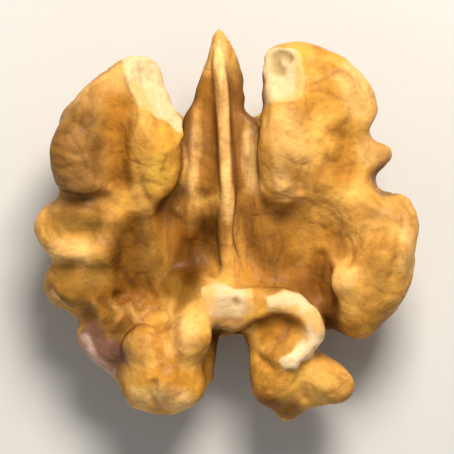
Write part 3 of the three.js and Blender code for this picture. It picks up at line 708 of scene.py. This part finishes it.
# Stains of the skin and of the bare flesh, and strokes of painted light and painted shade, as seen
# from above the inner face: strokes through some points, with their reach on both sides, colour
# and share. Each wanders a little.
WANDER = {"reach": 0.45, "size": 1.4, "starts": (11.0, 23.0)}
STROKE_EDGE = (0.4, 1.4)  # a stain or painted stroke fades out over this band, in shares of its reach
SKIN_STAINS_AND_PAINTED_LIGHT = [
    # The tongue: painted highlights along its keel and the lit edges of its flanks, and the skin between
    # them.
    ([(-1.5, 10.5), (-1.5, 3)], 0.8, BURNT, 0.8),
    ([(0.7, 9.5), (0.8, 3)], 0.6, BURNT, 0.8),
    ([(-0.5, 13.5), (-0.1, 6), (0.1, 1)], 0.6, PALE, 1),
    ([(-2.5, 7), (-2.7, 5), (-2.9, 3)], 0.6, PALE, 0.7),
    ([(1.6, 6.6), (1.7, 5), (2, 3)], 0.6, PALE, 0.9),
    # The floor on its left and on its right, with painted shade in the low floor left of the tongue.
    # Painted shade in the hollow beside the keel.
    ([(-1.6, -0.3), (-3, -2), (-3.4, -3.6)], 1.8, BROWN, 1),
    ([(-4, 1.6), (-4.2, -0.5)], 1.3, BURNT, 0.8),
    # Painted shade in the low floor at the foot of the left side.
    ([(-7.2, -0.6), (-7.4, -4.6)], 1.8, BROWN, 0.85),
    ([(-5.5, -0.8), (-5.4, -2.8)], 0.7, OLIVE, 0.8),
    ([(2.2, 1), (2.8, -1), (4, -3.2), (5.8, -3.8)], 1.8, BURNT, 0.8),
    ([(5, 1), (6.4, 0)], 1.3, AMBER, 0.3),
    ([(7, -2.2), (6.7, -4.3), (7.5, -6.8)], 0.8, BURNT, 0.7),
    ([(0.6, -3), (2.4, -3.8)], 0.9, AMBER, 0.5),
    # The left wing.
    ([(-11, 7), (-11, 3.4)], 2.4, PINKISH, 0.85),
    ([(-8.2, 9), (-7.9, 3.5)], 1, AMBER, 0.85),
    ([(-4.6, 6.2), (-4.7, 3.6)], 1.4, GOLD, 0.8),
    ([(-5.1, 5.2), (-5.3, 2.6)], 0.4, YELLOW, 0.7),
    ([(-10.4, 10), (-8.4, 11.2)], 1.4, PALE, 0.5),
    # The left side and the flap.
    ([(-12.5, 0.6), (-9.4, 0.2)], 1.3, OLIVE, 0.6),
    # Painted highlight along the lit lower ridge of the upper lobe.
    ([(-12.4, -1.8), (-10.6, -2.2)], 0.8, PALE, 0.8),
    ([(-12, -4.4), (-10, -4)], 1.7, OLIVE, 0.85),
    ([(-9.6, -6.2), (-7, -6.4), (-6.2, -5)], 1.7, BURNT, 0.7),
    ([(-7.3, -5.9), (-6.7, -7), (-5.9, -6.1)], 0.25, TAN, 0.7),
    ([(-9.9, -5.6), (-9.3, -6.6), (-9.6, -7.4)], 0.25, TAN, 0.7),
    ([(-8.7, -5.5), (-8, -6.3), (-8.3, -7.3)], 0.25, TAN, 0.7),
    # A painted glint on the left edge of the lower lobe.
    ([(-12.9, -5.1), (-12.7, -5.3)], 0.35, PALE, 0.9),
    ([(-4, -4.4), (-3.2, -5.2)], 1, OLIVE, 0.85),
    ([(-10, -8.2), (-8.6, -9.6)], 1.4, PURPLE, 1),
    ([(-10.7, -8.4), (-10, -9.8), (-8.7, -10.8)], 0.45, PINK, 0.9),
    # The right wing and the knob.
    ([(7, 12.6), (7, 9)], 0.8, AMBER, 0.15),
    ([(9.2, 11), (10.2, 9)], 1.3, PALE, 0.8),
    ([(4.3, 7.6), (4.6, 5.6)], 1.6, PALE, 0.6),
    # Painted highlight on the round bump at the foot of the wing.
    ([(4.1, 3.5), (4.6, 2.6)], 0.9, PALE, 0.7),
    ([(8.7, 6.8), (8.6, 3.8)], 0.9, AMBER, 0.7),
    ([(10.6, 5.6), (11.4, 5.4)], 1, PALE, 0.7),
    # The right side.
    ([(11, 0.8), (13, 0.8)], 1.3, TAN, 0.7),
    ([(13.3, 0), (13.3, -3)], 0.6, PALE, 0.6),
    # Painted highlight on the bump of the right side.
    ([(8.8, -3.7), (8.7, -4.2)], 0.9, PALE, 0.6),
    ([(7.8, -0.9), (8.6, -1.6)], 0.8, BURNT, 0.6),
    ([(9.4, -7.8), (11.2, -6.8)], 1, AMBER, 0.4),
    # The lower left lobe and its wall on the gap.
    # Painted highlight on the top of the right knob.
    ([(-3.2, -7.6), (-3.2, -8.6)], 1.1, PALE, 0.8),
    ([(-6.3, -8.3), (-6.3, -9.2)], 1, AMBER, 0.25),
    ([(-4.3, -10.2), (-3.6, -11.8)], 1.1, AMBER, 0.5),
    # Painted light on the round end of the lobe, which lies in shade.
    ([(-6.4, -12.9), (-3.4, -13)], 1.1, PALE, 1),
    ([(-1.3, -8.6), (-1.6, -11)], 0.8, BURNT, 0.5),
    ([(-4.9, -7.4), (-4.9, -9.6)], 0.5, AMBER, 0.6),
    # The hollow in the hooked rim, and the lower right lobe.
    ([(3, -7.2), (4.4, -7.6)], 1.2, AMBER, 0.85),
    ([(2.6, -7), (4, -6.9)], 0.6, BURNT, 0.6),
    ([(2.4, -5.6), (2.6, -6)], 0.9, GOLD, 0.8),
    ([(3, -10.2), (3.4, -11.6)], 1.2, AMBER, 0.35),
    # Painted shade along the bottom of the lower right lobe.
    ([(2.6, -13.2), (4.6, -13.8)], 1.1, BURNT, 0.8),
]
FLESH_STAINS_AND_PAINTED_LIGHT = [
    # The pits and the edges of the wings' broken faces.
    ([(4.5, 12.4), (4.1, 12.8), (3.6, 12.5), (3.6, 11.7), (3.9, 11.5)], 0.4, PITTED, 0.9),
    ([(5.4, 12.8), (5.4, 9.8)], 0.5, GOLD, 0.6),
    ([(3, 9), (5, 9.3)], 0.4, GOLD, 0.5),
    ([(-6.9, 10.2), (-5.8, 8.7)], 0.6, GOLD, 0.5),
    # The end of the bridge.
    ([(-1.2, -7.2), (1.4, -7.2)], 0.8, AMBER, 0.8),
    ([(0.6, -5.4), (0.7, -5.7)], 0.25, BURNT, 0.5),
    ([(-1.4, -4.8), (-1.6, -6.4)], 0.6, GOLD, 0.6),
    ([(1.8, -5), (1.8, -6.6)], 0.6, GOLD, 0.6),
    # The hooked rim.
    ([(3.6, -6.2), (5, -6)], 0.4, GOLD, 0.6),
    ([(6.2, -6.4), (6.7, -7.2)], 0.6, GOLD, 0.6),
    ([(5.2, -9), (5.8, -8.2)], 0.35, GOLD, 0.6),
    # Painted light on the end of the hooked rim, which lies in shade.
    ([(6.4, -9), (4.7, -10.2)], 0.9, CREAM, 1),
]


RIDGE_DEPTH = 2.6  # flesh thinner than this under the skin makes a ridge
RIDGE_BAND = (0.2, 0.95)  # shares of that depth over which it turns from a ridge into broad flesh
PAINTED_RIDGE_LIGHT_SHARE = 0.45  # how much painted light the sharpest ridge gets


def ridge_share(grid, places, outwards):
    """How sharp the fold under a place is, from 0 on broad flesh to 1 on a thin ridge."""
    depth = -grid.at(places - RIDGE_DEPTH * outwards) / RIDGE_DEPTH
    return 1 - smoothstep(depth, *RIDGE_BAND)


def blended(colour, other, share):
    return colour + share[:, None] * (other - colour)


def stained_and_painted_light(places, ridge, bare):
    """The colour of the skin, or of the bare flesh, at each place before the fine mottling: its stains,
    painted light on its ridges, and strokes of painted light and painted shade.
    """
    noises = [noise_at(places, WANDER["size"], start) for start in WANDER["starts"]]
    wander = WANDER["reach"] * np.stack(noises, axis=1)
    seen = smoothstep(places[:, 2], *INNER_HEIGHT)
    # Painted light: the thinner the ridge under the skin, the lighter the skin is painted.
    skin_colour = blended(np.tile(SKIN, (len(places), 1)), np.array(PAINTED_RIDGE_LIGHT), PAINTED_RIDGE_LIGHT_SHARE * ridge)
    flesh_colour = np.tile(FLESH, (len(places), 1))
    for colour, strokes_of_stain_and_painted_light in ((skin_colour, SKIN_STAINS_AND_PAINTED_LIGHT), (flesh_colour, FLESH_STAINS_AND_PAINTED_LIGHT)):
        for line, reach, stain_and_painted_light, share in strokes_of_stain_and_painted_light:
            away = line_distance(places[:, :2] + min(reach, 1) * wander, line)
            fade = smoothstep(away, *(edge * reach for edge in STROKE_EDGE))
            cover = share * seen * (1 - fade)
            colour[:] = blended(colour, np.array(stain_and_painted_light), cover)
    return blended(skin_colour, flesh_colour, bare)


# How shut in a place is sets the painted shade of the creases in the material, and where the small forms
# fade.
HOLLOW_REACHES = (0.5, 1.1, 2.2, 4.0)
TIGHT = (0.45, 0.7)  # over this band of hollowness the small forms fade out: walls would cross


def hollowness(grid, places, outwards):
    """How shut in a place is, from 0 in the open to 1 deep in a crease."""
    shut = np.zeros(len(places))
    for reach in HOLLOW_REACHES:
        shut += np.clip(1 - grid.at(places + reach * outwards) / reach, 0, 1)
    return shut / len(HOLLOW_REACHES)


def fine_forms(places, tongue, bare):
    """How far the skin stands out at each place, in millimetres."""
    skinned = (1 - bare) * (1 - SMOOTH_TONGUE * tongue)
    along = places / STRETCH
    height = sum(rise * noise_at(along, size, size) for rise, size in LUMPS) * skinned
    for depth, size in WRINKLES:
        valleys = (1 - ridged(along, size, WRINKLE_START)) ** VALLEY["sharpness"]
        height -= depth * valleys * skinned
    height += bare * sum(rise * noise_at(places, size, size) for rise, size in CRUMB)
    stretched = places / (GRAIN["across"], GRAIN["along"], GRAIN["across"])
    height += tongue * GRAIN["height"] * noise_at(stretched, 1.0, GRAIN["start"])
    return height


def make_mesh(name, vertices, quads):
    mesh = bpy.data.meshes.new(name)
    mesh.vertices.add(len(vertices))
    mesh.vertices.foreach_set("co", vertices.astype(np.float32).ravel())
    mesh.loops.add(quads.size)
    mesh.loops.foreach_set("vertex_index", quads.astype(np.int32).ravel())
    mesh.polygons.add(len(quads))
    mesh.polygons.foreach_set("loop_start", np.arange(0, quads.size, 4, dtype=np.int32))
    mesh.polygons.foreach_set("use_smooth", np.ones(len(quads), bool))
    mesh.update(calc_edges=True)
    mesh.validate()
    return mesh


def paint(mesh, name, colours):
    """Keeps a colour for each vertex, for the material to read."""
    layer = mesh.color_attributes.new(name, "FLOAT_COLOR", "POINT")
    rgba = np.ones((len(colours), 4), np.float32)
    rgba[:, :3] = colours
    layer.data.foreach_set("color", rgba.ravel())


def build_kernel():
    grid = Grid(REACH, CELL)
    places, quads = largest_shell(*skin(grid))
    outwards = grid.slope(places)
    tongue = tongue_share(places)
    bare = bare_share(places, outwards) * (1 - tongue)
    hollow = hollowness(grid, places, outwards)
    colour = stained_and_painted_light(places, ridge_share(grid, places, outwards), bare)
    height = fine_forms(places, tongue, bare) + drawn_forms(places, outwards)
    height *= 1 - smoothstep(hollow, *TIGHT)
    places += outwards * height[:, None]
    places[:, 2] = np.maximum(places[:, 2], 0)  # the feet are flat where they rest

    mesh = make_mesh("kernel_skin", places * MM, quads)
    paint(mesh, "stain_and_painted_light", colour)
    paint(mesh, "shares", np.stack([bare, hollow, tongue], axis=1))
    kernel = bpy.data.objects.new("kernel_skin", mesh)
    bpy.context.scene.collection.objects.link(kernel)
    mesh.materials.append(kernel_material())
    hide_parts("kernel")
    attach(kernel, "root")


class Nodes:
    """A short way to write a material's node tree."""

    def __init__(self, name):
        self.material = bpy.data.materials.new(name)
        self.material.use_nodes = True
        self.tree = self.material.node_tree
        self.shader = self.tree.nodes["Principled BSDF"]

    def add(self, kind, inputs=None, **settings):
        node = self.tree.nodes.new(kind)
        for key, value in settings.items():
            setattr(node, key, value)
        for key, value in (inputs or {}).items():
            self.put(value, node.inputs[key])
        return node

    def put(self, value, socket):
        if isinstance(value, bpy.types.NodeSocket):
            self.tree.links.new(value, socket)
        else:
            socket.default_value = value

    def noise(self, place, scale, detail, roughness=0.55, distortion=0.0):
        inputs = {
            "Vector": place, "Scale": scale, "Detail": detail, "Roughness": roughness,
            "Distortion": distortion,
        }
        return self.add("ShaderNodeTexNoise", inputs).outputs["Fac"]

    def math(self, operation, a, b, clamp=False):
        node = self.add("ShaderNodeMath", {0: a, 1: b}, operation=operation, use_clamp=clamp)
        return node.outputs[0]

    def remap(self, value, low, high, to_low=0.0, to_high=1.0):
        inputs = {
            "Value": value, "From Min": low, "From Max": high, "To Min": to_low, "To Max": to_high,
        }
        return self.add("ShaderNodeMapRange", inputs, interpolation_type="SMOOTHSTEP").outputs[0]

    def mix(self, share, a, b, blend="MIX"):
        node = self.add("ShaderNodeMix", data_type="RGBA", blend_type=blend)
        for name, value in (("Factor_Float", share), ("A_Color", a), ("B_Color", b)):
            socket = next(s for s in node.inputs if s.identifier == name)
            self.put(value, socket)
        return next(s for s in node.outputs if s.identifier == "Result_Color")


# Tones that the material mixes in, and the scales of its noises, in waves to a metre.
CLOUD_LIGHT = (0.85, 0.80, 0.92, 1)
CLOUD_DARK = (0.45, 0.36, 0.25, 1)
SPECK = (0.45, 0.38, 0.40, 1)
VEIN = (0.38, 0.33, 0.45, 1)
# painted shade, mixed into the creases
PAINTED_CREASE_SHADE = (0.13, 0.045, 0.008, 1)
CRUMB_TONE = (0.58, 0.34, 0.11, 1)
CLOUD_SCALE = 380.0
SPECK_SCALE = 2600.0
VEIN_BEND = {"scale": 420.0, "reach": 0.0022}
VEIN_SCALE = 330.0
VEIN_GAPS_SCALE = 260.0
GRAIN_SCALE = 1900.0
GRAIN_STRETCH = (1.0, 0.12, 1.0)
CRUMB_SCALE = 1500.0
EDGE_SCALE = 1300.0
RIPPLE_SCALE = 1100.0

# How the skin takes the light.
BUMP = {"Strength": 0.75, "Distance": 0.00018}
GLOSS = {
    "Subsurface Weight": 0.12,
    "Subsurface Radius": (1.0, 0.45, 0.18),
    "Subsurface Scale": 0.0009,
    "Specular IOR Level": 0.12,
    "Coat Weight": 0.04,
    "Coat Roughness": 0.25,
}


def mottled(n, place, stain_and_painted_light, specks):
    """The stains, with their painted light and shade, with cloudy lights and darks, and with fine
    specks.
    """
    clouds = n.noise(place, CLOUD_SCALE, detail=4.0, distortion=0.6)
    toned = n.mix(n.remap(clouds, 0.45, 0.72, 0.0, 0.4), stain_and_painted_light, CLOUD_LIGHT, "OVERLAY")
    toned = n.mix(n.remap(clouds, 0.54, 0.32, 0.0, 0.55), toned, CLOUD_DARK, "MULTIPLY")
    return n.mix(n.remap(specks, 0.52, 0.72, 0.0, 0.3), toned, SPECK, "MULTIPLY")


def vein_net(n, place):
    """A net of thin soft lines that comes and goes."""
    inputs = {"Vector": place, "Scale": VEIN_BEND["scale"], "Detail": 3.0}
    bend = n.add("ShaderNodeTexNoise", inputs).outputs["Color"]
    bend = n.add("ShaderNodeVectorMath", {0: bend, 3: VEIN_BEND["reach"]}, operation="SCALE")
    bent = n.add("ShaderNodeVectorMath", {0: bend.outputs[0], 1: place}, operation="ADD").outputs[0]
    inputs = {"Vector": bent, "Scale": VEIN_SCALE}
    net = n.add("ShaderNodeTexVoronoi", inputs, feature="DISTANCE_TO_EDGE")
    lines = n.remap(net.outputs["Distance"], 0.09, 0.0)
    gaps = n.noise(place, VEIN_GAPS_SCALE, detail=1.0)
    return n.math("MULTIPLY", lines, n.remap(gaps, 0.45, 0.62, 0.0, 0.3))


def grained(n, place, colour):
    """The colour with the grain that runs along the tongue."""
    inputs = {"Vector": place, "Scale": GRAIN_STRETCH}
    stretched = n.add("ShaderNodeMapping", inputs).outputs[0]
    grain = n.noise(stretched, GRAIN_SCALE, detail=3.0)
    return n.mix(n.remap(grain, 0.45, 0.65, 0.0, 0.4), colour, VEIN, "MULTIPLY")


def kernel_material():
    n = Nodes("walnut_skin")
    place = n.add("ShaderNodeTexCoord").outputs["Object"]
    stain_and_painted_light = n.add("ShaderNodeAttribute", attribute_name="stain_and_painted_light").outputs["Color"]
    shares = n.add("ShaderNodeAttribute", attribute_name="shares").outputs["Color"]
    split = n.add("ShaderNodeSeparateColor", {"Color": shares})
    bare, hollow, tongue = (split.outputs[name] for name in ("Red", "Green", "Blue"))

    specks = n.noise(place, SPECK_SCALE, detail=2.0)
    veins = vein_net(n, place)
    skin_colour = n.mix(veins, mottled(n, place, stain_and_painted_light, specks), VEIN, "MULTIPLY")
    skin_colour = n.mix(tongue, skin_colour, grained(n, place, skin_colour))
    # Painted shade in the creases: the more shut in a place is, the darker.
    skin_colour = n.mix(n.remap(hollow, 0.22, 0.7, 0.0, 0.85), skin_colour, PAINTED_CREASE_SHADE)

    # Bare flesh has darker crumbs, and a ragged edge.
    crumbs = n.noise(place, CRUMB_SCALE, detail=4.0, roughness=0.65)
    flesh_colour = n.mix(n.remap(crumbs, 0.48, 0.75, 0.0, 0.6), stain_and_painted_light, CRUMB_TONE)
    ragged = n.remap(n.noise(place, EDGE_SCALE, detail=3.0), 0.3, 0.6, 0.8, 1.6)
    flesh_share = n.remap(n.math("MULTIPLY", bare, ragged, clamp=True), 0.3, 0.8)

    dull = n.math("MULTIPLY", flesh_share, 0.35)
    rough = n.math("ADD", n.remap(specks, 0.3, 0.7, 0.46, 0.64), dull, clamp=True)
    ripples = n.noise(place, RIPPLE_SCALE, detail=4.0, roughness=0.6)
    height = n.math("ADD", n.math("MULTIPLY", ripples, 0.7), n.math("MULTIPLY", specks, 0.3))
    height = n.math("SUBTRACT", height, n.math("MULTIPLY", veins, 0.5))
    bump = n.add("ShaderNodeBump", {"Height": height, **BUMP})

    n.put(n.mix(flesh_share, skin_colour, flesh_colour), n.shader.inputs["Base Color"])
    n.put(rough, n.shader.inputs["Roughness"])
    n.put(bump.outputs[0], n.shader.inputs["Normal"])
    for name, value in GLOSS.items():
        n.shader.inputs[name].default_value = value
    return n.material


# The stage, in metres.
FLOOR_SIZE = 3.0
FLOOR_TONES = ((0.56, 0.555, 0.54, 1), (0.60, 0.595, 0.58, 1))
FLOOR_SCALE = 40.0
FLOOR_ROUGHNESS = 0.7
VIEW_WIDTH = 0.034  # how much the frame shows across, at the middle of the kernel's height
CAMERA_DISTANCE = 0.30
CLIP_START = 0.01
SENSOR = 0.036


def build_floor():
    bpy.ops.mesh.primitive_plane_add(size=FLOOR_SIZE, location=(0, 0, CAD_BOX[0][2]))
    floor = bpy.context.object
    floor.name = "floor"
    n = Nodes("pale_floor")
    place = n.add("ShaderNodeTexCoord").outputs["Object"]
    cloud = n.noise(place, FLOOR_SCALE, detail=2.0)
    n.put(n.mix(cloud, *FLOOR_TONES), n.shader.inputs["Base Color"])
    n.shader.inputs["Roughness"].default_value = FLOOR_ROUGHNESS
    floor.data.materials.append(n.material)


def aim(thing, place, target, up):
    """Puts a camera or lamp at a place, looking at the target."""
    back = (Vector(place) - Vector(target)).normalized()
    right = Vector(up).cross(back).normalized()
    turn = Matrix((right, back.cross(right), back)).transposed().to_4x4()
    thing.matrix_world = Matrix.Translation(place) @ turn


def build_camera():
    """Straight above the kernel, as the photograph looks down on it."""
    camera = bpy.data.cameras.new("camera")
    camera.sensor_width = SENSOR / MM
    camera.lens = SENSOR / MM * CAMERA_DISTANCE / VIEW_WIDTH
    camera.clip_start = CLIP_START
    view = bpy.data.objects.new("camera", camera)
    bpy.context.scene.collection.objects.link(view)
    middle = (0, 0, (CAD_BOX[0][2] + CAD_BOX[1][2]) / 2)
    aim(view, (0, 0, middle[2] + CAMERA_DISTANCE), middle, (0, 1, 0))
    bpy.context.scene.camera = view


# Lamps: name, power in watts, size, place, colour. They point at LIT_PLACE.
LAMPS = (
    ("key", 0.7, 0.08, (0.03, 0.12, 0.17), (1.0, 0.94, 0.85)),
    ("fill", 0.12, 0.30, (-0.08, -0.14, 0.16), (1.0, 0.98, 0.94)),
)
LIT_PLACE = (0, 0, 0.006)
SKY = 0.19  # strength of the white light from all round


def build_light():
    for name, power, size, place, colour in LAMPS:
        lamp = bpy.data.lights.new(name, "AREA")
        lamp.energy = power
        lamp.size = size
        lamp.color = colour
        holder = bpy.data.objects.new(name, lamp)
        bpy.context.scene.collection.objects.link(holder)
        aim(holder, place, LIT_PLACE, (0, 0, 1))
    world = bpy.data.worlds.new("studio")
    world.use_nodes = True
    world.node_tree.nodes["Background"].inputs["Strength"].default_value = SKY
    world.node_tree.nodes["Background"].inputs["Color"].default_value = (1, 1, 1, 1)
    bpy.context.scene.world = world
    bpy.context.scene.view_settings.view_transform = "Standard"


build_camera()
build_kernel()
build_floor()
build_light()
